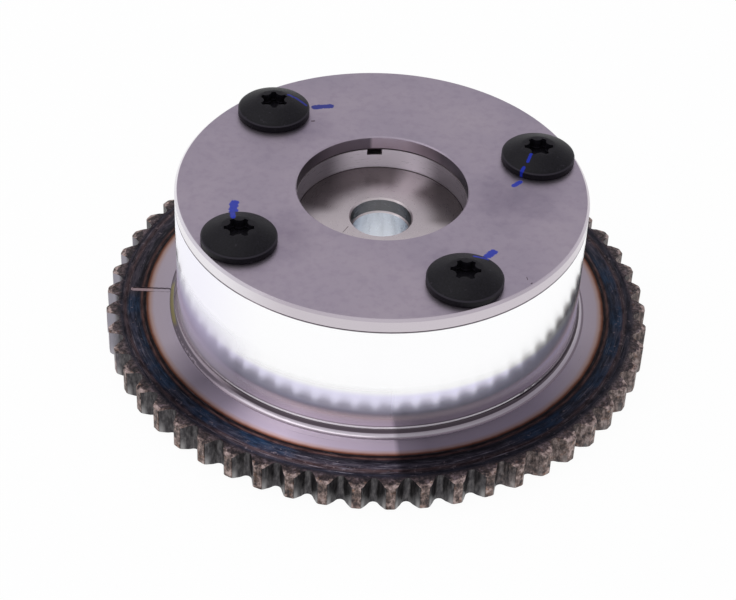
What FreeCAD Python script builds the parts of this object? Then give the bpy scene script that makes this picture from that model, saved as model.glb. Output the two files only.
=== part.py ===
import FreeCAD, Part
import math
import os

# Vane-type cam phaser with a chain sprocket, in millimetres.
# Origin on the cam axis in the plane of the rear face, +Z towards the front cover.

V = FreeCAD.Vector
AXIS = V(0, 0, 1)
ORIGIN = V(0, 0, 0)
os.makedirs("parts", exist_ok=True)

# Driving dimensions
DRUM_R = 41.0
FLANGE_T = 6.2
DRUM_TOP = 31.6
COVER_T = 3.0
COVER_TOP = DRUM_TOP + COVER_T
FOOT_FILLET = 2.2
FOOT_RISE = 2.1
EDGE_CHAMFER = 0.5
SEAM_CHAMFER = 0.15

# Sprocket
TEETH = 54
CHAIN_PITCH = 6.35
PITCH_R = CHAIN_PITCH / (2 * math.sin(math.pi / TEETH))
TIP_R = PITCH_R + 0.8
ROOT_R = PITCH_R - 1.7
ROOT_FILLET = 1.1
TIP_HALF_DEG = 0.98
TIP_ROUND = 0.45
TOOTH_T = 6.1
RIM_STEP_R = ROOT_R - 1.9
TIP_BEVEL_R = TIP_R - 1.5
TIP_DROP = 0.42
FIRST_TOOTH_DEG = -92.35

# Timing mark on the flange
MARK_DEG = -179.0
MARK_W = 1.1
MARK_R_IN = 43.0
MARK_R_OUT = 50.4
MARK_DEPTH = 0.12

# Chambers
FLOOR_Z = 8.4
CHAMBER_R = 36.5
LOBE_DEG = (215.9, 299.0, 20.6, 134.0)
LOBE_HALF = 15.0
LOBE_CORNER = 0.5
TRAVEL = 25.0
STOP_GAP = 0.3

# Rotor
SIDE_GAP = 0.05
HUB_R = 22.0
TIP_GAP = 0.3
VANE_R = CHAMBER_R - TIP_GAP
LOBE_TIP_R = HUB_R + TIP_GAP
VANE_W_DEG = 22.0
WIDE_SEAL_SHIFT = 12.0
ROTOR_Z0 = FLOOR_Z + SIDE_GAP
ROTOR_Z1 = DRUM_TOP - SIDE_GAP
RECESS_R = 16.9
RECESS_Z = 27.1
COVER_BORE_R = 17.0
BOSS_R = 17.0
BOSS_FIT = 0.04
BOSS_Z = 0.4
SOCKET_R = 12.5
SOCKET_Z = 7.8
BOLT_R_FRONT = 6.1
BOLT_R_REAR = 5.8
BOLT_STEP_Z = 24.0
DOWEL_R = 2.0
DOWEL_PCR = 9.2
DOWEL_DEPTH = 5.0
OIL_R = 1.0
OIL_Z = (11.6, 15.2)
OIL_OFF_DEG = 14.0

# Seals and leaf springs
SEAL_W = 1.5
SEAL_H = 2.4
SEAL_FIT = 0.05
SLOT_DEPTH = 3.5
SEAL_END = 0.1
LEAF_T = 0.2
LEAF_W = 1.2
LEAF_END = 2.5
LEAF_GAP = 0.04

# Cover screws
SCREW_PCR = 33.15
SCREW_R = 3.0
SCREW_LEN = 20.0
SCREW_FIT = 0.05
COVER_HOLE_R = 3.35
HOLE_DEPTH = 19.0
HEAD_R = 7.35
RIM_H = 1.55
HEAD_H = 3.2
HEAD_FLAT_R = 3.4
DOME_FULLNESS = 0.58
SOCKET_DEPTH = 2.3
SOCKET_TIP_R = 2.9
SOCKET_BUMP_R = 1.2
SOCKET_BUMP_PCR = 3.3
SCREW_TURN = (4.0, 57.0, 5.0, 35.0)

# Lock pin set
PIN_DEG = 96.4
PIN_PCR = (HUB_R + VANE_R) / 2 - 0.1
PIN_BORE_R = 4.5
PIN_FIT = 0.04
PIN_R = PIN_BORE_R - PIN_FIT
PIN_Z0 = 8.7
PIN_LEN = 13.0
PIN_CUP_R = 3.1
PIN_WALL = 3.0
PIN_NOSE_R = 4.0
BUSH_R = 6.4
BUSH_BORE_R = 4.8
BUSH_Z0 = 4.0
RETAINER_Z0 = 27.7
RETAINER_Z1 = 29.8
RETAINER_HOLE_R = 1.2
COIL_R = 2.35
WIRE_R = 0.35
COIL_TURNS = 8
VENT_W = 3.1
VENT_DEPTH = 1.3


def polar(radius, degrees, z=0.0):
    angle = math.radians(degrees)
    return V(radius * math.cos(angle), radius * math.sin(angle), z)


def cylinder(radius, z0, z1, centre=ORIGIN):
    return Part.makeCylinder(radius, z1 - z0, V(centre.x, centre.y, z0))


def turned(points):
    """Solid of revolution about the cam axis from (radius, height) points."""
    wire = Part.makePolygon([V(r, 0, z) for r, z in points + points[:1]])
    return Part.Face(wire).revolve(ORIGIN, AXIS, 360)


def sector(r0, r1, deg0, deg1, z0, z1):
    points = [V(r0, 0, z0), V(r1, 0, z0), V(r1, 0, z1), V(r0, 0, z1), V(r0, 0, z0)]
    body = Part.Face(Part.makePolygon(points)).revolve(ORIGIN, AXIS, deg1 - deg0)
    body.rotate(ORIGIN, AXIS, deg0)
    return body


def radial_box(r0, r1, width, z0, z1, degrees):
    """Box lying along a radius, centred on it."""
    body = Part.makeBox(r1 - r0, width, z1 - z0, V(r0, -width / 2, z0))
    body.rotate(ORIGIN, AXIS, degrees)
    return body


def radial_hole(radius, r0, r1, z, degrees):
    body = Part.makeCylinder(radius, r1 - r0, V(r0, 0, z), V(1, 0, 0))
    body.rotate(ORIGIN, AXIS, degrees)
    return body


def export(shape, name):
    shape.exportStep("parts/" + name + ".step")


# Sprocket outline: narrow rounded roots, straight flanks, short tips with rounded corners
def gap_points():
    """Root, flank and corner points of one side of a gap, as (across, outward) from its middle."""
    half = math.radians(180.0 / TEETH - TIP_HALF_DEG)
    corner = (TIP_R * math.sin(half), TIP_R * math.cos(half))
    rise = corner[1] - ROOT_R - ROOT_FILLET
    angle = math.atan2(rise, corner[0]) - math.acos(ROOT_FILLET / math.hypot(corner[0], rise))
    foot = (ROOT_FILLET * math.cos(angle), ROOT_R + ROOT_FILLET * (1 + math.sin(angle)))
    length = math.hypot(corner[0] - foot[0], corner[1] - foot[1])
    share = TIP_ROUND / length
    top = tuple(c + (f - c) * share for c, f in zip(corner, foot))
    land_angle = half + TIP_ROUND / TIP_R
    land = (TIP_R * math.sin(land_angle), TIP_R * math.cos(land_angle))
    middle = tuple(0.265 * (t + e) + 0.47 * c for t, e, c in zip(top, land, corner))
    return foot, top, middle, land


def tooth_outline():
    step = 360.0 / TEETH
    points = gap_points()
    edges = []
    for k in range(TEETH):
        centre = FIRST_TOOTH_DEG + k * step
        gap = centre + step / 2
        across = polar(1, gap + 90)
        outward = polar(1, gap)
        foot_a, top_a, middle_a, land_a = [outward * v - across * u for u, v in points]
        foot_b, top_b, middle_b, land_b = [outward * v + across * u for u, v in points]
        edges.append(Part.Arc(land_a, middle_a, top_a).toShape())
        edges.append(Part.makeLine(top_a, foot_a))
        edges.append(Part.Arc(foot_a, polar(ROOT_R, gap), foot_b).toShape())
        edges.append(Part.makeLine(foot_b, top_b))
        edges.append(Part.Arc(top_b, middle_b, land_b).toShape())
        turn = FreeCAD.Rotation(AXIS, step)
        edges.append(Part.Arc(land_b, polar(TIP_R, centre + step), turn.multVec(land_a)).toShape())
    return Part.Wire(edges)


# Housing: toothed flange, drum with foot fillet, chambers and lobes in one piece
def foot_profile():
    """Turned outside of flange and drum with the concave fillet at the foot."""
    c = FOOT_FILLET
    half = math.asin(FOOT_RISE / c) / 2
    fillet_mid = V(DRUM_R + c - c * math.cos(half), 0, FLANGE_T + FOOT_RISE - c * math.sin(half))
    fillet_end = DRUM_R + c - c * math.cos(2 * half)
    pts = [
        V(0, 0, 0),
        V(TIP_BEVEL_R, 0, 0),
        V(TIP_R + 0.1, 0, TIP_DROP),
        V(TIP_R + 0.1, 0, TOOTH_T - TIP_DROP),
        V(TIP_BEVEL_R, 0, TOOTH_T),
        V(RIM_STEP_R + 0.1, 0, TOOTH_T),
        V(RIM_STEP_R, 0, FLANGE_T),
        V(fillet_end, 0, FLANGE_T),
    ]
    edges = [Part.makeLine(a, b) for a, b in zip(pts[:-1], pts[1:])]
    top = V(DRUM_R, 0, FLANGE_T + FOOT_RISE)
    edges.append(Part.Arc(pts[-1], fillet_mid, top).toShape())
    upper = [
        top,
        V(DRUM_R, 0, DRUM_TOP - SEAM_CHAMFER),
        V(DRUM_R - SEAM_CHAMFER, 0, DRUM_TOP),
        V(0, 0, DRUM_TOP),
        V(0, 0, 0),
    ]
    edges += [Part.makeLine(a, b) for a, b in zip(upper[:-1], upper[1:])]
    return Part.Face(Part.Wire(edges)).revolve(ORIGIN, AXIS, 360)


def chamber_cavity():
    cavity = cylinder(CHAMBER_R, FLOOR_Z, DRUM_TOP + 1)
    for deg in LOBE_DEG:
        lobe = sector(LOBE_TIP_R, CHAMBER_R + 2, deg - LOBE_HALF, deg + LOBE_HALF, FLOOR_Z - 1, DRUM_TOP + 2)
        cavity = cavity.cut(lobe)
    corners = []
    for edge in cavity.Edges:
        a = edge.Vertexes[0].Point
        b = edge.Vertexes[-1].Point
        upright = abs(a.x - b.x) + abs(a.y - b.y) < 1e-6 and abs(a.z - b.z) > 5
        if upright and abs(math.hypot(a.x, a.y) - CHAMBER_R) < 0.01:
            corners.append(edge)
    return cavity.makeFillet(LOBE_CORNER, corners)


def housing():
    teeth = Part.Face(tooth_outline()).extrude(V(0, 0, FLANGE_T + 1))
    drum = cylinder(RIM_STEP_R - 1.6, FLANGE_T + 0.5, DRUM_TOP)
    body = foot_profile().common(teeth.fuse(drum))
    body = body.cut(chamber_cavity())
    body = body.cut(cylinder(BOSS_R + BOSS_FIT, -1, FLOOR_Z + 1))
    rim = turned([(BOSS_R - 1, -0.1), (BOSS_R + 0.6, -0.1), (BOSS_R - 0.1, 0.7), (BOSS_R - 1, 0.7)])
    body = body.cut(rim)
    for deg in LOBE_DEG:
        body = body.cut(cylinder(SCREW_R + SCREW_FIT, DRUM_TOP - HOLE_DEPTH, DRUM_TOP + 1, polar(SCREW_PCR, deg)))
        body = body.cut(radial_box(
            LOBE_TIP_R - 1, LOBE_TIP_R + SLOT_DEPTH, SEAL_W + 2 * SEAL_FIT, FLOOR_Z, DRUM_TOP + 1, deg))
    body = body.cut(cylinder(BUSH_R, BUSH_Z0, FLOOR_Z + 1, polar(PIN_PCR, PIN_DEG)))
    body = body.cut(radial_box(MARK_R_IN, MARK_R_OUT, MARK_W, FLANGE_T - MARK_DEPTH, FLANGE_T + 1, MARK_DEG))
    end = polar(MARK_R_IN, MARK_DEG)
    return body.cut(cylinder(MARK_W / 2, FLANGE_T - MARK_DEPTH, FLANGE_T + 1, end))


# Front cover: ground plate with wide bore
def front_cover():
    c = EDGE_CHAMFER
    s = SEAM_CHAMFER
    plate = turned([
        (COVER_BORE_R, DRUM_TOP),
        (DRUM_R - s, DRUM_TOP),
        (DRUM_R, DRUM_TOP + s),
        (DRUM_R, COVER_TOP - c),
        (DRUM_R - c, COVER_TOP),
        (COVER_BORE_R + 0.25, COVER_TOP),
        (COVER_BORE_R, COVER_TOP - 0.25),
    ])
    for deg in LOBE_DEG:
        plate = plate.cut(cylinder(COVER_HOLE_R, DRUM_TOP - 1, COVER_TOP + 1, polar(SCREW_PCR, deg)))
    return plate


# Large-flange screws with a six-lobe socket
def six_lobe(depth, z):
    star = cylinder(SOCKET_TIP_R, z, z + depth)
    for k in range(6):
        star = star.cut(cylinder(SOCKET_BUMP_R, z - 1, z + depth + 1, polar(SOCKET_BUMP_PCR, 30 + 60 * k)))
    return star


def screw(turn):
    seat = COVER_TOP
    rise = HEAD_H - RIM_H
    shoulder = (HEAD_R - 0.25, seat + RIM_H)
    mid_r = (shoulder[0] + HEAD_FLAT_R) / 2
    dome_mid = V(mid_r, 0, seat + RIM_H + rise * DOME_FULLNESS)
    start = V(shoulder[0], 0, shoulder[1])
    finish = V(HEAD_FLAT_R, 0, seat + HEAD_H)
    low = [
        V(0, 0, seat - SCREW_LEN),
        V(SCREW_R - 0.6, 0, seat - SCREW_LEN),
        V(SCREW_R, 0, seat - SCREW_LEN + 0.6),
        V(SCREW_R, 0, seat),
        V(HEAD_R - 0.2, 0, seat),
        V(HEAD_R, 0, seat + 0.2),
        V(HEAD_R, 0, seat + RIM_H - 0.25),
        start,
    ]
    edges = [Part.makeLine(a, b) for a, b in zip(low[:-1], low[1:])]
    edges.append(Part.Arc(start, dome_mid, finish).toShape())
    edges.append(Part.makeLine(finish, V(0, 0, seat + HEAD_H)))
    edges.append(Part.makeLine(V(0, 0, seat + HEAD_H), low[0]))
    body = Part.Face(Part.Wire(edges)).revolve(ORIGIN, AXIS, 360)
    body = body.cut(six_lobe(SOCKET_DEPTH + 1, seat + HEAD_H - SOCKET_DEPTH))
    body.rotate(ORIGIN, AXIS, turn)
    return body


# Rotor: hub, three plain vanes and the wide vane that carries the lock pin
def chamber_edges():
    """Start and end angle of each chamber, counter-clockwise from its first lobe."""
    spans = []
    for k, deg in enumerate(LOBE_DEG):
        start = deg + LOBE_HALF
        end = LOBE_DEG[(k + 1) % 4] - LOBE_HALF
        while end < start:
            end += 360
        spans.append((start, end))
    return spans


def vane_spans():
    """Vane angles at the stop where the wide vane rests on its lobe."""
    vanes = []
    for start, end in chamber_edges():
        free = end - start
        wide = free > 70
        width = free - TRAVEL - 2 * STOP_GAP if wide else VANE_W_DEG
        margin = (free - TRAVEL - width) / 2
        vanes.append((end - margin - width, end - margin))
    return vanes


def seal_angle(a, b):
    """Middle of a plain vane; on the wide vane shifted clear of the lock pin."""
    middle = (a + b) / 2
    return middle - WIDE_SEAL_SHIFT if b - a > 2 * VANE_W_DEG else middle


def rotor():
    body = cylinder(HUB_R, ROTOR_Z0, ROTOR_Z1)
    for a, b in vane_spans():
        body = body.fuse(sector(HUB_R - 2, VANE_R, a, b, ROTOR_Z0, ROTOR_Z1))
    body = body.fuse(cylinder(BOSS_R, BOSS_Z, ROTOR_Z0 + 1))
    recess = turned([
        (0, RECESS_Z),
        (RECESS_R, RECESS_Z),
        (RECESS_R, ROTOR_Z1 + 1),
        (0, ROTOR_Z1 + 1),
    ])
    bore = turned([
        (0, 0),
        (SOCKET_R + 0.5, 0),
        (SOCKET_R + 0.5, BOSS_Z),
        (SOCKET_R, BOSS_Z + 0.5),
        (SOCKET_R, SOCKET_Z),
        (BOLT_R_REAR, SOCKET_Z),
        (BOLT_R_REAR, BOLT_STEP_Z - 0.3),
        (BOLT_R_REAR + 0.3, BOLT_STEP_Z),
        (BOLT_R_FRONT, BOLT_STEP_Z),
        (BOLT_R_FRONT, RECESS_Z - 0.3),
        (BOLT_R_FRONT + 0.3, RECESS_Z),
        (BOLT_R_FRONT + 0.3, RECESS_Z + 1),
        (0, RECESS_Z + 1),
    ])
    body = body.cut(recess).cut(bore)
    body = body.cut(cylinder(DOWEL_R, SOCKET_Z - 1, SOCKET_Z + DOWEL_DEPTH, polar(DOWEL_PCR, PIN_DEG)))
    for a, b in vane_spans():
        mid = (a + b) / 2
        half = (b - a) / 2
        slot_w = SEAL_W + 2 * SEAL_FIT
        seal = seal_angle(a, b)
        body = body.cut(radial_box(VANE_R - SLOT_DEPTH, VANE_R + 1, slot_w, ROTOR_Z0 - 1, ROTOR_Z1 + 1, seal))
        off = max(OIL_OFF_DEG, half + 3)
        body = body.cut(radial_hole(OIL_R, BOLT_R_REAR - 1, HUB_R + 1, OIL_Z[0], mid - off))
        body = body.cut(radial_hole(OIL_R, BOLT_R_REAR - 1, HUB_R + 1, OIL_Z[1], mid + off))
    pin_axis = polar(PIN_PCR, PIN_DEG)
    body = body.cut(cylinder(PIN_BORE_R, ROTOR_Z0 - 1, ROTOR_Z1 + 1, pin_axis))
    return body.cut(radial_box(RECESS_R - 1, PIN_PCR, VENT_W, ROTOR_Z1 - VENT_DEPTH, ROTOR_Z1 + 1, PIN_DEG))


# Seal strips and the leaf springs behind them
def strip(r0, r1, z0, z1, degrees):
    """Strip whose two long faces follow circles about the cam axis."""
    ring = cylinder(r1, z0, z1).cut(cylinder(r0, z0 - 1, z1 + 1))
    return ring.common(radial_box(r0 - 1, r1 + 1, SEAL_W, z0, z1, degrees))


def leaf(r_ends, r_middle, z0, z1, degrees):
    sign = 1 if r_middle > r_ends else -1
    t = sign * LEAF_T
    zm = (z0 + z1) / 2
    outer = Part.Arc(V(r_ends, 0, z0), V(r_middle - t, 0, zm), V(r_ends, 0, z1)).toShape()
    inner = Part.Arc(V(r_ends + t, 0, z0), V(r_middle, 0, zm), V(r_ends + t, 0, z1)).toShape()
    end0 = Part.makeLine(V(r_ends, 0, z0), V(r_ends + t, 0, z0))
    end1 = Part.makeLine(V(r_ends, 0, z1), V(r_ends + t, 0, z1))
    face = Part.Face(Part.Wire(Part.__sortEdges__([outer, end0, inner, end1])))
    face.translate(V(0, -LEAF_W / 2, 0))
    body = face.extrude(V(0, LEAF_W, 0))
    body.rotate(ORIGIN, AXIS, degrees)
    return body


def vane_seal(degrees):
    tip = CHAMBER_R - SEAL_FIT
    return strip(tip - SEAL_H, tip, ROTOR_Z0 + SEAL_END, ROTOR_Z1 - SEAL_END, degrees)


def vane_leaf(degrees):
    back = CHAMBER_R - SEAL_FIT - SEAL_H - LEAF_GAP
    floor = VANE_R - SLOT_DEPTH + LEAF_GAP
    return leaf(back, floor, ROTOR_Z0 + LEAF_END, ROTOR_Z1 - LEAF_END, degrees)


def lobe_seal(degrees):
    tip = HUB_R + SEAL_FIT
    return strip(tip, tip + SEAL_H, ROTOR_Z0 + SEAL_END, ROTOR_Z1 - SEAL_END, degrees)


def lobe_leaf(degrees):
    back = HUB_R + SEAL_FIT + SEAL_H + LEAF_GAP
    floor = LOBE_TIP_R + SLOT_DEPTH - LEAF_GAP
    return leaf(back, floor, ROTOR_Z0 + LEAF_END, ROTOR_Z1 - LEAF_END, degrees)


# Lock pin, its spring, spring retainer and seat bush, drawn on the cam axis first
def lock_pin():
    z0 = PIN_Z0
    return turned([
        (0, z0),
        (PIN_NOSE_R - 0.4, z0),
        (PIN_NOSE_R, z0 + 0.4),
        (PIN_R, z0 + 2.4),
        (PIN_R, z0 + PIN_LEN - 0.3),
        (PIN_R - 0.3, z0 + PIN_LEN),
        (PIN_CUP_R, z0 + PIN_LEN),
        (PIN_CUP_R, z0 + PIN_WALL),
        (0, z0 + PIN_WALL),
    ])


def lock_spring():
    z0 = PIN_Z0 + PIN_WALL + WIRE_R + 0.03
    z1 = RETAINER_Z0 - WIRE_R - 0.03
    helix = Part.makeHelix((z1 - z0) / COIL_TURNS, z1 - z0, COIL_R)
    helix.translate(V(0, 0, z0))
    start = V(COIL_R, 0, z0)
    section = Part.Wire(Part.makeCircle(WIRE_R, start, V(0, 1, 0)))
    return Part.Wire(helix.Edges).makePipeShell([section], True, True)


def retainer():
    return turned([
        (RETAINER_HOLE_R, RETAINER_Z0),
        (PIN_BORE_R - 0.3, RETAINER_Z0),
        (PIN_BORE_R, RETAINER_Z0 + 0.3),
        (PIN_BORE_R, RETAINER_Z1),
        (RETAINER_HOLE_R, RETAINER_Z1),
    ])


def lock_bush():
    return turned([
        (BUSH_BORE_R - 0.6, BUSH_Z0),
        (BUSH_R, BUSH_Z0),
        (BUSH_R, FLOOR_Z),
        (BUSH_BORE_R + 0.3, FLOOR_Z),
        (BUSH_BORE_R, FLOOR_Z - 0.4),
        (BUSH_BORE_R - 0.6, BUSH_Z0 + 0.8),
    ])


export(housing(), "housing_sprocket")
export(front_cover(), "front_cover")
export(rotor(), "rotor")
for k, deg in enumerate(LOBE_DEG):
    number = str(k + 1)
    bolt = screw(SCREW_TURN[k])
    bolt.translate(polar(SCREW_PCR, deg))
    export(bolt, "cover_screw_" + number)
    export(lobe_seal(deg), "lobe_seal_" + number)
    export(lobe_leaf(deg), "lobe_spring_" + number)
for k, span in enumerate(vane_spans()):
    number = str(k + 1)
    seal = seal_angle(span[0], span[1])
    export(vane_seal(seal), "vane_seal_" + number)
    export(vane_leaf(seal), "vane_spring_" + number)
for make, name in (
    (lock_pin, "lock_pin"),
    (lock_spring, "lock_spring"),
    (retainer, "spring_retainer"),
    (lock_bush, "lock_bush"),
):
    piece = make()
    piece.translate(polar(PIN_PCR, PIN_DEG))
    export(piece, name)
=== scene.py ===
import bmesh
import bpy
import math
from mathutils import Matrix, Vector


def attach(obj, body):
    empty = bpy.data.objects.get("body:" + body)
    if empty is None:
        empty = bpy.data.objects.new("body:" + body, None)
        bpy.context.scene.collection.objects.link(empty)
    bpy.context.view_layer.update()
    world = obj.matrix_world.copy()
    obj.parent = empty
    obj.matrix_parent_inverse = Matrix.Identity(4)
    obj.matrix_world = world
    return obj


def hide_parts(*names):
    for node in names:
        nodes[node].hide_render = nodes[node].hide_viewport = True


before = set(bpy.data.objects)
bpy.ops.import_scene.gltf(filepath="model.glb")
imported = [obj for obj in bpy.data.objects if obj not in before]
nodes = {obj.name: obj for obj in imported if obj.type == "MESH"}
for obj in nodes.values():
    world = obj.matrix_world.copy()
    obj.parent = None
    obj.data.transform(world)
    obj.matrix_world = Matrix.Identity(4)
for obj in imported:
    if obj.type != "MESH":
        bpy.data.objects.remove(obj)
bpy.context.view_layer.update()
scene = bpy.context.scene

MM = 0.001

# Camera, solved from the photograph, in metres
CAMERA_PLACE = (-0.00182, -0.32800, 0.27675)
CAMERA_RIGHT = (0.998913, 0.029717, 0.035919)
CAMERA_UP = (-0.046618, 0.636758, 0.769653)
CAMERA_BACK = (0.0, -0.770491, 0.637451)
LENS_MM = 100.85
SENSOR_MM = 36.0

# Surroundings that the metal mirrors, by height of the direction
TENT_FRONT = [
    (-0.1, (255, 255, 255)), (0.02, (252, 252, 252)), (0.08, (215, 211, 216)), (0.3, (204, 200, 206)),
    (0.7, (222, 219, 224)), (0.84, (245, 245, 248)), (1.0, (240, 240, 244)),
]
TENT_REAR = [
    (-0.1, (255, 255, 255)), (0.05, (248, 248, 250)), (0.3, (226, 224, 230)), (0.64, (216, 213, 220)),
    (0.85, (232, 230, 236)), (1.0, (240, 240, 244)),
]
SOFT_LIGHT = (222, 222, 225)
WHITE = (255, 255, 255)

# Floor, just under the part, in metres
FLOOR_Z = -0.0003
FLOOR_HALF = 2.0
FLOOR_BRIGHT = 0.96

# Marker strokes on the cover and the screws: start, end and width in millimetres
INK_NEAR = (20, 40, 154)
INK_FAR = (17, 28, 122)
COVER_STROKES = (
    ((-14.7, 26.5), (-11.5, 27.2), 1.5),
    ((27.3, 3.7), (26.0, 2.3), 1.0),
    ((-28.7, -7.5), (-28.7, -10.4), 1.7),
    ((21.6, -19.3), (20.6, -20.5), 1.5),
    ((20.6, -20.5), (19.2, -21.6), 1.0),
)
SCREW_STROKES = (
    ((-20.1, 26.0), (-19.2, 25.7), 0.7),
    ((-18.6, 25.5), (-16.5, 24.5), 0.7),
    ((29.4, 8.9), (28.7, 7.2), 0.6),
    ((27.9, 5.9), (27.6, 5.4), 0.7),
    ((-28.6, -13.2), (-28.2, -16.2), 1.0),
    ((20.1, -23.9), (17.9, -24.0), 0.9),
)
# Slightly darker patches on the cover: centre and reach
COVER_SHADES = (((-19.0, -17.0), 11.0), ((14.0, -25.0), 8.0), ((25.0, -2.0), 12.0), ((-17.0, 19.0), 8.0))
# Small dark marks on the cover: centre, length, width, direction in degrees
COVER_SPECKS = (
    ((-14.8, 21.5), 0.9, 0.35, 10.0),
    ((-28.6, 21.9), 1.6, 0.5, 0.0),
    ((28.6, -28.2), 0.5, 0.22, 60.0),
    ((27.8, -26.8), 0.9, 0.15, 102.0),
)
# Timing mark on the flange: ends, and widths of its dark outline and of its groove
MARK = ((-43.1, -0.75), (-50.2, -0.88))
MARK_WIDTH = 1.35
GROOVE_WIDTH = 0.95
# Hair-thin scratch on the floor of the rotor's recess: ends and width
HAIR_SCRATCH = ((-7.4, -5.6), (-6.4, -3.6), 0.12)

# Light and dark of the photo, set into the colour of the metal, by azimuth in degrees.
# First the wall of the cover's bore, then the turned flange.
BORE_WALL = [
    (20.0, (90, 90, 98)), (46.0, (108, 101, 110)), (62.0, (172, 158, 170)), (75.0, (226, 210, 224)),
    (98.0, (228, 212, 226)), (100.0, (142, 132, 144)), (128.0, (150, 140, 152)), (150.0, (108, 102, 110)),
]
SECTORS = [
    (-180.0, (188, 188, 190)), (-158.0, (190, 190, 192)), (-140.0, (126, 126, 130)),
    (-130.0, (142, 142, 146)), (-112.0, (228, 228, 230)), (-84.3, (214, 214, 216)),
    (-83.6, (146, 146, 150)), (-76.0, (120, 120, 124)), (-45.0, (128, 128, 132)),
    (-10.0, (176, 176, 178)), (150.0, (194, 194, 196)), (180.0, (188, 188, 190)),
]

# Colours of the flange out to the teeth, by distance from the cam axis in millimetres,
# then those that follow a grain from 0 to 1
FLANGE_COLOURS = [
    (42.0, (236, 224, 234)), (45.4, (232, 218, 226)), (46.2, (224, 190, 176)), (46.7, (158, 102, 76)),
    (47.1, (44, 34, 36)), (47.45, (52, 42, 44)), (47.85, (122, 88, 80)), (48.25, (60, 50, 56)),
    (48.6, (46, 43, 50)), (49.2, (74, 70, 78)), (49.7, (96, 89, 98)), (50.3, (86, 79, 88)),
    (50.9, (108, 86, 86)), (51.5, (92, 78, 82)), (52.0, (60, 60, 72)), (53.0, (84, 80, 90)),
]
SPOT_COLOURS = [(0.38, (158, 158, 164)), (0.5, (214, 214, 218)), (0.62, (255, 255, 255))]
CRUST_COLOURS = [
    (0.36, (36, 32, 36)), (0.43, (70, 60, 59)), (0.49, (106, 91, 86)), (0.54, (140, 122, 117)),
    (0.62, (188, 170, 165)),
]
BARE_COLOURS = [(0.35, (52, 50, 52)), (0.5, (74, 72, 74)), (0.65, (100, 97, 98))]
COVER_COLOURS = [(0.3, (156, 147, 160)), (0.5, (164, 154, 166)), (0.7, (170, 160, 170))]
# Painted haze of reflection on the lower drum, by height in millimetres
PAINTED_HAZE_COLOURS = [
    (9.0, (176, 166, 184)), (13.0, (192, 178, 206)), (15.0, (204, 192, 222)), (17.0, (222, 215, 240)),
    (20.0, (244, 242, 253)),
]

# Places on the part, in millimetres
FLANGE_INNER_R = (41.0, 41.5)
DRUM_FOOT_R = (42.52, 42.6)
DRUM_OUTSIDE_R = (40.0, 40.5)
TEETH_R = (51.5, 52.0)
FOOT_TOP_Z = (8.05, 8.15)
FOOT_BRIGHT_Z = (7.7, 8.05)
FOOT_DARK_Z = (6.88, 7.6)
FOOT_SATIN_Z = (7.6, 7.7)
FOOT_OUTER_Z = (6.34, 6.42)
ABOVE_FOOT_Z = (8.12, 8.28)
DRUM_SEAM_Z = (31.48, 31.72)
COVER_SEAM_Z = (31.78, 31.84)
COVER_EDGE_R = (40.4, 40.6)
COVER_BORE_R = (17.1, 17.05)
RECESS_FLOOR_Z = (26.9, 27.2)
RECESS_WALL_Z = (27.15, 27.3)
RECESS_EDGE_R = (16.62, 16.72)
UPPER_BORE_Z = (24.1, 26.7)
UPPER_BORE_R = (6.6, 6.4)
LOWER_BORE_Z = (23.6, 23.8)
LOWER_BORE_R = (6.4, 6.2)
SCREW_RIM_Z = (35.9, 36.1)


def make_camera():
    data = bpy.data.cameras.new("camera")
    data.sensor_fit = "HORIZONTAL"
    data.sensor_width = SENSOR_MM
    data.lens = LENS_MM
    data.clip_start = 0.01
    camera = bpy.data.objects.new("camera", data)
    turn = Matrix((CAMERA_RIGHT, CAMERA_UP, CAMERA_BACK)).transposed()
    camera.matrix_world = Matrix.Translation(CAMERA_PLACE) @ turn.to_4x4()
    scene.collection.objects.link(camera)
    scene.camera = camera


def colour(value):
    """Linear colour of an sRGB triple from 0 to 255; sockets pass through."""
    if isinstance(value, tuple) and len(value) == 3:
        parts = [v / 255.0 for v in value]
        return tuple(p / 12.92 if p <= 0.04045 else ((p + 0.055) / 1.055) ** 2.4 for p in parts) + (1.0,)
    return value


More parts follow.
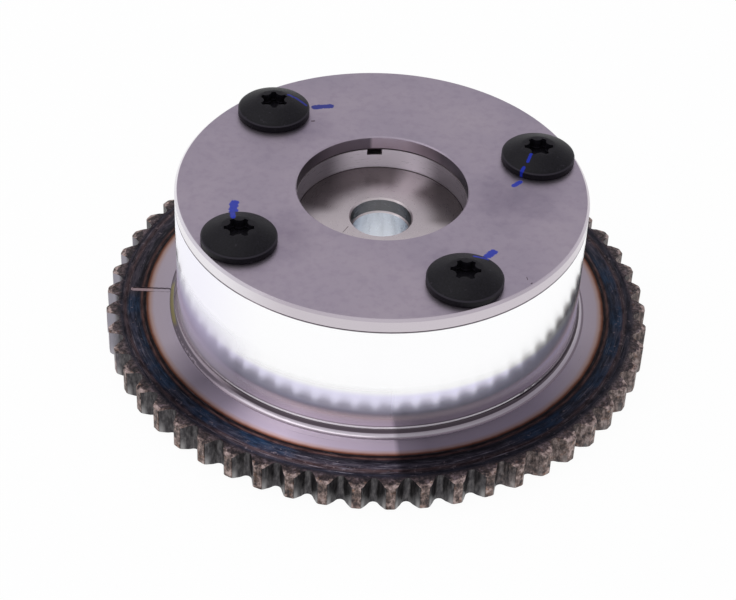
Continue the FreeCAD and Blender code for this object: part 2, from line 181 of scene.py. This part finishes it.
class Tree:
    """Adds nodes to a node tree and joins them."""

    def __init__(self, tree):
        self.tree = tree

    def add(self, kind, **values):
        node = self.tree.nodes.new(kind)
        for name, value in values.items():
            setattr(node, name, value)
        return node

    def feed(self, socket, value):
        if isinstance(value, bpy.types.NodeSocket):
            self.tree.links.new(value, socket)
        else:
            socket.default_value = value

    def calc(self, operation, *values):
        node = self.add("ShaderNodeMath", operation=operation)
        for socket, value in zip(node.inputs, values):
            self.feed(socket, value)
        return node.outputs[0]

    def plus(self, first, *others):
        for other in others:
            first = self.calc("ADD", first, other)
        return first

    def less(self, first, other):
        return self.calc("SUBTRACT", first, other)

    def times(self, first, *others):
        for other in others:
            first = self.calc("MULTIPLY", first, other)
        return first

    def most(self, first, other):
        return self.calc("MAXIMUM", first, other)

    def distance(self, dx, dy):
        return self.calc("SQRT", self.plus(self.times(dx, dx), self.times(dy, dy)))

    def step(self, value, low, high, start=0.0, end=1.0):
        """Smooth step: start below low, end above high."""
        node = self.add("ShaderNodeMapRange", interpolation_type="SMOOTHSTEP")
        self.feed(node.inputs["Value"], value)
        node.inputs["From Min"].default_value = low
        node.inputs["From Max"].default_value = high
        node.inputs["To Min"].default_value = start
        node.inputs["To Max"].default_value = end
        return node.outputs["Result"]

    def below(self, value, low, high, amount=1.0):
        """The amount below low, falling to 0 at high."""
        return self.step(value, low, high, amount, 0.0)

    def band(self, value, low, high, soft):
        """1 between low and high, falling to 0 over the width soft outside."""
        return self.times(self.step(value, low - soft, low), self.below(value, high, high + soft))

    def mix(self, mask, low, high, blend="MIX"):
        node = self.add("ShaderNodeMix", data_type="RGBA", blend_type=blend)
        self.feed(node.inputs["Factor"], mask)
        self.feed(node.inputs["A"], colour(low))
        self.feed(node.inputs["B"], colour(high))
        return node.outputs["Result"]

    def tint(self, mask, low, high):
        """Multiplies low by high where mask is 1."""
        return self.mix(mask, low, high, "MULTIPLY")

    def ramp(self, value, stops):
        """Colour ramp over stops of (value, colour)."""
        low, high = stops[0][0], stops[-1][0]
        span = self.add("ShaderNodeMapRange")
        self.feed(span.inputs["Value"], value)
        span.inputs["From Min"].default_value = low
        span.inputs["From Max"].default_value = high
        node = self.add("ShaderNodeValToRGB")
        marks = node.color_ramp.elements
        while len(marks) < len(stops):
            marks.new(0.5)
        for mark, (place, shade) in zip(marks, stops):
            mark.position = (place - low) / (high - low)
            mark.color = colour(shade)
        self.feed(node.inputs["Fac"], span.outputs["Result"])
        return node.outputs["Color"]


def make_world():
    """Light tent: white up to the horizon, dull wall on the viewer's side, soft top light."""
    world = bpy.data.worlds.new("studio")
    world.use_nodes = True
    scene.world = world
    t = Tree(world.node_tree)
    background = world.node_tree.nodes["Background"]
    path = t.add("ShaderNodeLightPath")
    seen = t.most(path.outputs["Is Camera Ray"], path.outputs["Is Transmission Ray"])
    coord = t.add("ShaderNodeTexCoord")
    split = t.add("ShaderNodeSeparateXYZ")
    t.feed(split.inputs[0], coord.outputs["Generated"])
    height = split.outputs["Z"]
    behind = t.step(split.outputs["Y"], -0.25, 0.15)
    tent = t.mix(behind, t.ramp(height, TENT_FRONT), t.ramp(height, TENT_REAR))
    lit = t.mix(path.outputs["Is Glossy Ray"], SOFT_LIGHT, tent)
    t.feed(background.inputs["Color"], t.mix(seen, lit, WHITE))
    background.inputs["Strength"].default_value = 1.0


def make_floor():
    bm = bmesh.new()
    bmesh.ops.create_grid(bm, x_segments=2, y_segments=2, size=FLOOR_HALF)
    mesh = bpy.data.meshes.new("floor")
    bm.to_mesh(mesh)
    bm.free()
    floor = bpy.data.objects.new("floor", mesh)
    floor.location.z = FLOOR_Z
    scene.collection.objects.link(floor)
    material = bpy.data.materials.new("white_floor")
    material.use_nodes = True
    t = Tree(material.node_tree)
    t.tree.nodes.clear()
    path = t.add("ShaderNodeLightPath")
    glossy = t.most(path.outputs["Is Glossy Ray"], path.outputs["Is Transmission Ray"])
    seen = t.most(t.times(path.outputs["Is Camera Ray"], FLOOR_BRIGHT), glossy)
    diffuse = t.add("ShaderNodeBsdfDiffuse")
    diffuse.inputs["Color"].default_value = (0.86, 0.86, 0.87, 1.0)
    shine = t.add("ShaderNodeEmission")
    shine.inputs["Strength"].default_value = 1.0
    mixer = t.add("ShaderNodeMixShader")
    t.feed(mixer.inputs[0], seen)
    t.feed(mixer.inputs[1], diffuse.outputs[0])
    t.feed(mixer.inputs[2], shine.outputs[0])
    out = t.add("ShaderNodeOutputMaterial")
    t.feed(out.inputs["Surface"], mixer.outputs[0])
    mesh.materials.append(material)


def make_lamp(name, place, target, size, power):
    data = bpy.data.lights.new(name, "AREA")
    data.shape = "RECTANGLE"
    data.size, data.size_y = size
    data.energy = power
    lamp = bpy.data.objects.new(name, data)
    lamp.location = place
    lamp.rotation_euler = (Vector(target) - Vector(place)).to_track_quat("-Z", "Y").to_euler()
    scene.collection.objects.link(lamp)


class Finish(Tree):
    """A metal or polymer finish in the part's own coordinates, in millimetres."""

    def __init__(self, name, roughness, metallic=1.0):
        self.material = bpy.data.materials.new(name)
        self.material.use_nodes = True
        super().__init__(self.material.node_tree)
        self.shader = self.tree.nodes["Principled BSDF"]
        self.shader.inputs["Metallic"].default_value = metallic
        self.shader.inputs["Roughness"].default_value = roughness
        coord = self.add("ShaderNodeTexCoord")
        scale = self.add("ShaderNodeVectorMath", operation="SCALE")
        self.feed(scale.inputs[0], coord.outputs["Object"])
        scale.inputs["Scale"].default_value = 1.0 / MM
        self.place = scale.outputs[0]
        split = self.add("ShaderNodeSeparateXYZ")
        self.feed(split.inputs[0], self.place)
        self.x, self.y, self.z = split.outputs
        self.radius = self.distance(self.x, self.y)
        self.azimuth = self.calc("DEGREES", self.calc("ARCTAN2", self.y, self.x))
        self.across_x = self.calc("DIVIDE", self.x, self.radius)
        self.across_y = self.calc("DIVIDE", self.y, self.radius)

    def noise(self, per_mm, detail=3.0, roughness=0.55, stretch=(1.0, 1.0, 1.0), shift=0.0, place=None):
        mapping = self.add("ShaderNodeMapping")
        self.feed(mapping.inputs["Vector"], place or self.place)
        mapping.inputs["Scale"].default_value = stretch
        mapping.inputs["Location"].default_value = (shift, shift * 0.7, shift * 1.3)
        node = self.add("ShaderNodeTexNoise")
        self.feed(node.inputs["Vector"], mapping.outputs[0])
        node.inputs["Scale"].default_value = per_mm
        node.inputs["Detail"].default_value = detail
        node.inputs["Roughness"].default_value = roughness
        return node.outputs["Fac"]

    def round_place(self, per_turn):
        """Place along the turned profile and around the axis, so that grain follows the turning."""
        node = self.add("ShaderNodeCombineXYZ")
        self.feed(node.inputs[0], self.plus(self.radius, self.z))
        self.feed(node.inputs[1], self.times(self.across_x, per_turn))
        self.feed(node.inputs[2], self.times(self.across_y, per_turn))
        return node.outputs[0]

    def facing(self):
        """Share of the normal along the cam axis, and share pointing away from the axis."""
        coord = self.add("ShaderNodeTexCoord")
        split = self.add("ShaderNodeSeparateXYZ")
        self.feed(split.inputs[0], coord.outputs["Normal"])
        outward = self.plus(self.times(split.outputs[0], self.across_x),
                            self.times(split.outputs[1], self.across_y))
        return self.calc("ABSOLUTE", split.outputs[2]), outward

    def upright(self, level, low=0.3, high=0.6):
        """1 on walls, 0 on faces that look along the cam axis."""
        return self.below(level, low, high)

    def left_side(self, soft):
        """1 on the far left of the photo, fading away behind."""
        behind = self.step(self.azimuth, 130.0, 180.0)
        return self.most(self.below(self.azimuth, -140.0, -140.0 + soft), behind)

    def leant_normal(self, amount):
        """Surface normal leant by the amount towards the front cover."""
        shape = self.add("ShaderNodeNewGeometry")
        lean = self.add("ShaderNodeCombineXYZ")
        self.feed(lean.inputs[2], amount)
        total = self.add("ShaderNodeVectorMath", operation="ADD")
        self.feed(total.inputs[0], shape.outputs["Normal"])
        self.feed(total.inputs[1], lean.outputs[0])
        unit = self.add("ShaderNodeVectorMath", operation="NORMALIZE")
        self.feed(unit.inputs[0], total.outputs[0])
        return unit.outputs[0]

    def bump(self, height, depth_mm, onto=None):
        node = self.add("ShaderNodeBump")
        node.inputs["Distance"].default_value = depth_mm * MM
        node.inputs["Strength"].default_value = 1.0
        self.feed(node.inputs["Height"], height)
        if onto is not None:
            self.feed(node.inputs["Normal"], onto)
        return node.outputs[0]

    def turned_grain(self):
        """Highlights drawn out across rings of turning about the cam axis."""
        self.shader.inputs["Anisotropic"].default_value = 0.6
        self.shader.inputs["Anisotropic Rotation"].default_value = 0.25
        tangent = self.add("ShaderNodeTangent", direction_type="RADIAL", axis="Z")
        self.feed(self.shader.inputs["Tangent"], tangent.outputs[0])

    def stroke(self, start, end, width):
        """1 on a marker stroke from start to end, seen along the cam axis."""
        ax, ay = start
        bx, by = end[0] - ax, end[1] - ay
        px = self.less(self.x, ax)
        py = self.less(self.y, ay)
        dot = self.plus(self.times(px, bx), self.times(py, by))
        along = self.calc("DIVIDE", dot, bx * bx + by * by)
        along = self.calc("MINIMUM", self.most(along, 0.0), 1.0)
        far = self.distance(self.less(px, self.times(along, bx)), self.less(py, self.times(along, by)))
        rough = self.times(self.less(self.noise(1.6, 2.0), 0.5), width * 0.45)
        return self.below(self.plus(far, rough), width * 0.42, width * 0.6)

    def strokes(self, marks):
        mask = self.stroke(*marks[0])
        for mark in marks[1:]:
            mask = self.most(mask, self.stroke(*mark))
        return mask

    def ink(self, marks, base):
        """Blue marker strokes over the base, and their mask."""
        mask = self.strokes(marks)
        return self.mix(mask, base, self.mix(self.step(self.y, 8.0, 14.0), INK_NEAR, INK_FAR)), mask

    def specks(self, marks):
        """1 on small marks given by centre, length, width and direction."""
        ends = []
        for centre, length, width, degrees in marks:
            dx = math.cos(math.radians(degrees)) * (length - width) / 2
            dy = math.sin(math.radians(degrees)) * (length - width) / 2
            ends.append(((centre[0] - dx, centre[1] - dy), (centre[0] + dx, centre[1] + dy), width))
        return self.strokes(ends)

    def soft_spot(self, centre, reach):
        """1 at the centre, falling to 0 at the given reach, seen along the cam axis."""
        far = self.distance(self.less(self.x, centre[0]), self.less(self.y, centre[1]))
        rough = self.times(self.less(self.noise(0.2, 4.0), 0.5), reach)
        return self.below(self.plus(far, rough), 0.0, reach)

    def finish(self, base, roughness, normal, metallic=None):
        self.feed(self.shader.inputs["Base Color"], base)
        self.feed(self.shader.inputs["Roughness"], roughness)
        self.feed(self.shader.inputs["Normal"], normal)
        if metallic is not None:
            self.feed(self.shader.inputs["Metallic"], metallic)
        return self.material


def flange_colour(m, heat, heated, speckle, sector):
    """Satin flange: heat-tinted band, painted sectors of reflected light and dark, and the timing mark.
    """
    spots = m.ramp(speckle, SPOT_COLOURS)
    flange = m.tint(heated, m.ramp(heat, FLANGE_COLOURS), spots)
    # Blue oxide on both sides of the heated band
    patches = m.step(m.noise(0.12, 4.0, shift=3.1), 0.42, 0.60)
    left = m.band(m.azimuth, -174.0, -110.0, 5.0)
    right = m.band(m.azimuth, -54.0, 20.0, 6.0)
    sides = m.plus(m.times(m.most(left, right), 0.85), 0.03)
    spread = m.plus(m.times(patches, 0.55), 0.4)
    blue = m.times(m.band(heat, 48.6, 50.6, 0.6), spread, sides)
    flange = m.mix(blue, flange, m.tint(1.0, (44, 74, 104), spots))
    # Rings worn bright, with a painted sheen that makes them strongest in front
    swept = m.noise(1.0, 4.0, 0.6, place=m.round_place(7.0), stretch=(5.0, 1.0, 1.0))
    front = m.band(m.azimuth, -106.0, -62.0, 10.0)
    rubbed_and_sheen = m.times(m.step(swept, 0.56, 0.70), m.band(heat, 49.2, 52.0, 0.4))
    rubbed_and_sheen = m.times(rubbed_and_sheen, m.plus(m.times(front, 0.45), 0.25))
    flange = m.mix(rubbed_and_sheen, flange, m.tint(1.0, (225, 218, 228), spots))
    sparkle = m.step(m.noise(1.3, 3.0, 0.6, shift=11.0), 0.60, 0.72)
    sparkle = m.times(sparkle, m.band(heat, 49.3, 52.6, 0.4), 0.3)
    flange = m.mix(sparkle, flange, (206, 186, 188))
    scratches = m.noise(5.0, 2.0, 0.6, place=m.round_place(2.0), stretch=(3.0, 1.0, 1.0))
    flange = m.mix(m.times(m.step(scratches, 0.60, 0.72), 0.2), flange, (250, 244, 250))
    # Painted reflection: light and dark sectors by azimuth, set into the flange's colour
    flange = m.tint(m.step(m.radius, *FLANGE_INNER_R), flange, sector)
    # Timing mark: a shallow groove with a thin dark outline
    outline = m.stroke(*MARK, MARK_WIDTH)
    inside = m.stroke(*MARK, GROOVE_WIDTH)
    flange = m.mix(m.times(m.less(outline, inside), 0.8), flange, (64, 54, 60))
    return m.mix(m.times(inside, m.step(m.radius, 46.0, 47.0, 0.0, 0.6)), flange, (196, 172, 174))


def teeth_colour(m, wobble, scale, streaks):
    """Mill scale on the toothed rim with painted highlights and reflection, and the masks of the rim and
    of its barer flanks.
    """
    level, outward = m.facing()
    crust = m.ramp(m.plus(m.times(scale, 0.55), m.times(streaks, 0.45)), CRUST_COLOURS)
    rust = m.step(m.noise(0.9, 4.0, 0.6, shift=21.0), 0.54, 0.68)
    crust = m.tint(m.times(rust, 0.8), crust, (222, 186, 150))
    side = m.times(m.upright(level), m.step(m.radius, *TEETH_R))
    # The teeth on the right are crusted all over; on the far left their sides carry a painted light-grey
    # reflection
    crusted = m.band(m.azimuth, -52.0, 40.0, 16.0)
    flank = m.most(m.below(outward, 0.80, 0.94), m.below(m.radius, 53.3, 53.8))
    flank = m.times(side, flank, m.less(1.0, m.times(crusted, 0.6)))
    painted_pale_reflection = m.times(m.below(m.x, -54.0, -50.0), m.step(m.radius, 53.0, 54.0))
    # Bevels along the tooth tips, lighter than the tops: partly wear, partly painted highlight
    bevel = m.times(m.step(m.radius, 53.5, 54.1), m.band(level, 0.6, 0.985, 0.005))
    top = m.tint(m.less(1.0, bevel), crust, (150, 146, 156))
    worn_edge_and_highlight = m.times(bevel, m.band(m.radius, 54.7, 55.3, 0.2), m.step(scale, 0.40, 0.62, 0.0, 0.55))
    top = m.mix(worn_edge_and_highlight, top, (186, 166, 162))
    # Tooth tips lighter towards the bottom
    lighter_low = m.times(m.step(m.radius, 54.2, 55.0), m.below(m.z, 0.4, 3.6))
    bare = m.mix(m.times(lighter_low, 0.7), m.ramp(streaks, BARE_COLOURS), (170, 168, 168))
    shade = m.mix(flank, m.mix(side, top, crust), bare)
    shade = m.mix(m.times(side, painted_pale_reflection, 0.6), shade, (182, 178, 190))
    rim = m.step(m.plus(m.radius, m.times(wobble, 1.5)), 52.2, 53.4)
    rim = m.most(m.most(rim, side), m.below(m.z, 5.0, 5.6))
    return shade, rim, flank


def drum_colour(m, sector, painted_haze):
    """Polished drum with painted reflections in its colour: haze, highlights and shade on the fillet, a
    glint.
    """
    # Painted reflection: lavender below, white above, a bluish band and the painted haze
    shade = m.mix(m.step(m.z, 10.5, 13.0), (236, 228, 239), (254, 254, 255))
    shade = m.mix(m.times(m.band(m.z, 11.5, 15.5, 1.5), 0.8), shade, (232, 228, 255))
    shade = m.mix(painted_haze, shade, m.ramp(m.z, PAINTED_HAZE_COLOURS))
    # Painted highlights and painted shade along the fillet, painted shade at the seam under the cover,
    # and the painted sectors on the fillet
    shade = m.mix(m.below(m.z, *FOOT_SATIN_Z), shade, (214, 205, 213))
    shade = m.mix(m.band(m.z, *FOOT_BRIGHT_Z, 0.1), shade, (254, 248, 254))
    shade = m.mix(m.band(m.z, *DRUM_SEAM_Z, 0.03), shade, (120, 112, 118))
    shade = m.mix(m.band(m.z, *ABOVE_FOOT_Z, 0.08), shade, (196, 188, 196))
    shade = m.mix(m.band(m.z, *FOOT_DARK_Z, 0.06), shade, (110, 100, 108))
    shade = m.tint(m.below(m.z, *FOOT_TOP_Z, 0.7), shade, sector)
    shade = m.mix(m.below(m.z, *FOOT_OUTER_Z), shade, (122, 112, 120))
    # Painted reflection: the fillet darker on the left, with a painted olive glint
    painted_dark_left = m.times(m.left_side(14.0), m.below(m.z, *FOOT_TOP_Z))
    shade = m.mix(m.times(painted_dark_left, 0.85), shade, (166, 154, 164))
    shade = m.mix(m.times(painted_dark_left, m.below(m.z, 6.8, 6.9)), shade, (104, 96, 104))
    glint = m.times(m.band(m.y, -10.5, 0.0, 2.5), m.band(m.z, 6.3, 6.55, 0.12))
    return m.mix(m.times(glint, m.below(m.x, -39.0, -37.0, 0.65)), shade, (142, 134, 74))


def drum_lean(m):
    """How far the drum's shading normals lean forward.

    The solid is a plain cylinder; the lean lets the mirrored teeth end where they do in the photo.
    """
    around = m.step(m.azimuth, -150.0, -118.0, 0.11, 0.07)
    around = m.plus(around, m.step(m.azimuth, -60.0, -35.0, 0.0, -0.02))
    lean = m.plus(m.step(m.z, 8.3, 9.0, 0.0, 0.04), m.times(m.step(m.z, 10.8, 12.2), around))
    return m.plus(lean, m.times(m.band(m.z, 7.74, 8.0, 0.06), 0.25))


def housing_finish():
    m = Finish("housing_steel", 0.14)
    wobble = m.times(m.less(m.noise(0.35, 4.0), 0.5), 0.3)
    # The heated band lies a little off centre
    heat = m.plus(m.radius, wobble, m.times(m.across_x, 0.35))
    heated = m.step(heat, 46.9, 47.3)
    speckle = m.noise(1.1, 3.0, 0.6, place=m.round_place(16.0), stretch=(1.5, 1.0, 1.0))
    scale = m.noise(0.75, 5.0, 0.6, shift=8.0)
    streaks = m.noise(1.8, 5.0, 0.6, stretch=(1.0, 1.0, 0.35), shift=1.0)
    # Painted reflection: light and dark sectors of the turned rings, one of them with a sharp edge
    sector = m.ramp(m.azimuth, SECTORS)
    drum = m.below(m.radius, *DRUM_FOOT_R)
    painted_haze = m.most(m.below(m.azimuth, -150.0, -118.0, 0.85), m.step(m.azimuth, 135.0, 180.0, 0.0, 0.85))
    teeth, rim, flank = teeth_colour(m, wobble, scale, streaks)
    base = m.mix(rim, flange_colour(m, heat, heated, speckle, sector), teeth)
    outside = m.times(drum, m.step(m.radius, *DRUM_OUTSIDE_R))
    base = m.mix(outside, base, drum_colour(m, sector, painted_haze))
    rings = m.noise(1.0, 2.0, place=m.round_place(1.2), stretch=(6.0, 1.0, 1.0))
    shine = m.plus(m.times(rings, 0.1), 0.25)
    shine = m.mix(heated, shine, m.plus(m.times(speckle, 0.4), 0.2))
    shine = m.mix(drum, shine, (0.16, 0.16, 0.16, 1.0))
    shine = m.mix(rim, shine, m.plus(m.times(streaks, 0.3), 0.3))
    # The crust is less metallic, and so is the lower drum under its painted haze, most of all on the left
    crust_only = m.times(rim, m.less(1.0, flank))
    painted_haze_band = m.times(painted_haze, m.band(m.z, 9.2, 19.5, 3.0))
    thin = m.times(m.band(m.z, 10.5, 17.0, 1.5), m.step(m.azimuth, -86.0, -82.0, 0.28, 0.17))
    metal = m.less(m.less(1.0, m.times(crust_only, 0.3)), m.times(m.most(painted_haze_band, thin), drum))
    uneven = m.plus(m.times(m.plus(streaks, scale), crust_only), m.times(speckle, m.times(heated, 0.15)))
    pits = m.bump(uneven, 0.3, onto=m.leant_normal(m.times(drum_lean(m), drum)))
    fine_rings = m.noise(9.0, 3.0, place=m.round_place(0.6))
    m.turned_grain()
    return m.finish(base, shine, m.bump(fine_rings, 0.003, onto=pits), metal)


def cover_finish():
    m = Finish("cover_steel", 0.36)
    base = m.ramp(m.noise(0.05, 4.0), COVER_COLOURS)
    faint = m.noise(0.5, 5.0, 0.65, shift=4.0)
    base = m.tint(m.step(faint, 0.44, 0.66), base, (247, 246, 248))
    for centre, reach in COVER_SHADES:
        base = m.tint(m.times(m.soft_spot(centre, reach), 0.8), base, (222, 220, 226))
    edge = m.step(m.radius, *COVER_EDGE_R)
    # Painted reflection: the cover's rim lighter on the far left
    base = m.mix(edge, base, m.mix(m.left_side(30.0), (202, 194, 201), (232, 228, 233)))
    level, _ = m.facing()
    bore = m.times(m.step(m.radius, *COVER_BORE_R), m.upright(level))
    # Painted light and painted shade on the wall of the bore, by azimuth
    base = m.mix(bore, base, m.ramp(m.azimuth, BORE_WALL))
    # Painted shade along the seam at the bottom of the cover
    base = m.mix(m.below(m.z, *COVER_SEAM_Z), base, (92, 84, 90))
    base = m.mix(m.specks(COVER_SPECKS), base, (84, 72, 80))
    base, ink = m.ink(COVER_STROKES, base)
    grain = m.noise(7.0, 3.0)
    shine = m.mix(edge, m.plus(m.times(grain, 0.14), 0.3), (0.2, 0.2, 0.2, 1.0))
    shine = m.plus(shine, m.times(ink, 0.2))
    return m.finish(base, shine, m.bump(grain, 0.004), m.less(1.0, ink))


def rotor_finish():
    m = Finish("rotor_steel", 0.3)
    level, _ = m.facing()
    base = m.ramp(m.noise(0.12, 4.0), [(0.3, (186, 178, 180)), (0.7, (202, 194, 194))])
    # Turned floor of the recess with painted shade on both sides and a lighter sector between
    right = m.band(m.azimuth, 0.0, 44.0, 16.0)
    left = m.band(m.azimuth, 84.0, 165.0, 18.0)
    floor_shade = m.times(m.most(right, left), m.step(m.radius, 7.5, 12.5))
    floor = m.times(m.band(m.z, *RECESS_FLOOR_Z, 0.05), level)
    base = m.tint(m.times(floor, m.times(floor_shade, 0.9)), base, (140, 136, 135))
    # Wall of the recess, painted light at its centre and painted shade towards both ends
    wall = m.times(m.step(m.z, *RECESS_WALL_Z), m.upright(level, 0.2, 0.5))
    lit_middle = m.band(m.azimuth, 72.0, 108.0, 26.0)
    base = m.mix(wall, base, m.mix(lit_middle, (130, 122, 130), (250, 240, 250)))
    metal = m.less(1.0, m.times(wall, 0.75))
    # Painted shade in the upper bore and painted light in the lower bore
    upper_bore = m.times(m.band(m.z, *UPPER_BORE_Z, 0.1), m.step(m.radius, *UPPER_BORE_R))
    base = m.mix(upper_bore, base, (128, 126, 126))
    lower_bore = m.times(m.below(m.z, *LOWER_BORE_Z), m.step(m.radius, *LOWER_BORE_R))
    base = m.mix(lower_bore, base, (242, 246, 252))
    # Painted shade: a dark line in the corner at the edge of the recess floor
    base = m.mix(m.times(floor, m.step(m.radius, *RECESS_EDGE_R)), base, (70, 64, 68))
    base = m.mix(m.times(m.stroke(*HAIR_SCRATCH), floor), base, (90, 80, 84))
    rings = m.noise(5.0, 3.0, place=m.round_place(1.2))
    m.turned_grain()
    return m.finish(base, m.plus(m.times(rings, 0.15), 0.22), m.bump(rings, 0.002), metal)


def screw_finish():
    m = Finish("screw_black_oxide", 0.45, 0.0)
    m.shader.inputs["Specular IOR Level"].default_value = 0.12
    grain = m.noise(2.5, 5.0, 0.6)
    base = m.ramp(grain, [(0.3, (10, 9, 13)), (0.7, (24, 22, 28))])
    scuffs = m.step(m.noise(0.9, 5.0, 0.7, shift=5.0), 0.60, 0.74)
    base = m.mix(m.times(scuffs, 0.35), base, (78, 72, 82))
    # Painted highlight: a faint lighter line along the rim of the head
    base = m.mix(m.band(m.z, *SCREW_RIM_Z, 0.08), base, (42, 39, 46))
    base, _ = m.ink(SCREW_STROKES, base)
    return m.finish(base, m.plus(m.times(grain, 0.25), 0.33), m.bump(grain, 0.03))


def plain_finish(name, floor_shade, light, roughness, metallic, per_mm):
    m = Finish(name, roughness, metallic)
    grain = m.noise(per_mm, 4.0)
    base = m.ramp(grain, [(0.3, floor_shade), (0.7, light)])
    return m.finish(base, m.plus(m.times(grain, 0.2), roughness - 0.1), m.bump(grain, 0.01))


def smooth_copy(node, body, material):
    """Merged and smooth-shaded copy of a solid, with its finish."""
    name = node + "_dressed"
    mesh = nodes[node].data.copy()
    mesh.name = name
    bm = bmesh.new()
    bm.from_mesh(mesh)
    bmesh.ops.remove_doubles(bm, verts=bm.verts, dist=2e-6)
    bmesh.ops.dissolve_degenerate(bm, edges=bm.edges, dist=1e-6)
    bm.to_mesh(mesh)
    bm.free()
    if "custom_normal" in mesh.attributes:
        mesh.attributes.remove(mesh.attributes["custom_normal"])
    mesh.shade_smooth()
    mesh.set_sharp_from_angle(angle=math.radians(28.0))
    mesh.materials.clear()
    mesh.materials.append(material)
    piece = bpy.data.objects.new(name, mesh)
    scene.collection.objects.link(piece)
    even = piece.modifiers.new("even_normals", "WEIGHTED_NORMAL")
    even.keep_sharp = True
    even.weight = 100
    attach(piece, body)
    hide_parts(node)


def dress_hidden_pieces():
    """Plain finishes for the seals, springs, lock pin, retainer and bush."""
    seal_polymer = plain_finish("seal_polymer", (52, 42, 34), (72, 60, 48), 0.55, 0.0, 3.0)
    spring_steel = plain_finish("spring_steel", (150, 142, 132), (180, 172, 160), 0.3, 1.0, 2.0)
    pin_steel = plain_finish("pin_steel", (160, 158, 158), (190, 188, 188), 0.28, 1.0, 2.0)
    for name, node in nodes.items():
        if "seal" in name:
            finish = seal_polymer
        elif name.startswith(("vane_spring", "lobe_spring", "lock_spring")):
            finish = spring_steel
        elif name in ("lock_pin", "spring_retainer", "lock_bush"):
            finish = pin_steel
        else:
            continue
        node.data.materials.clear()
        node.data.materials.append(finish)


make_camera()
make_world()
make_floor()
make_lamp("lamp_top", (-0.3, 0.05, 0.8), (0, 0, 0.02), (0.8, 0.8), 2.0)

smooth_copy("housing_sprocket", "housing", housing_finish())
smooth_copy("front_cover", "housing", cover_finish())
smooth_copy("rotor", "rotor", rotor_finish())
screw_black = screw_finish()
for number in range(1, 5):
    smooth_copy("cover_screw_%d" % number, "housing", screw_black)
dress_hidden_pieces()

scene.view_settings.view_transform = "Standard"
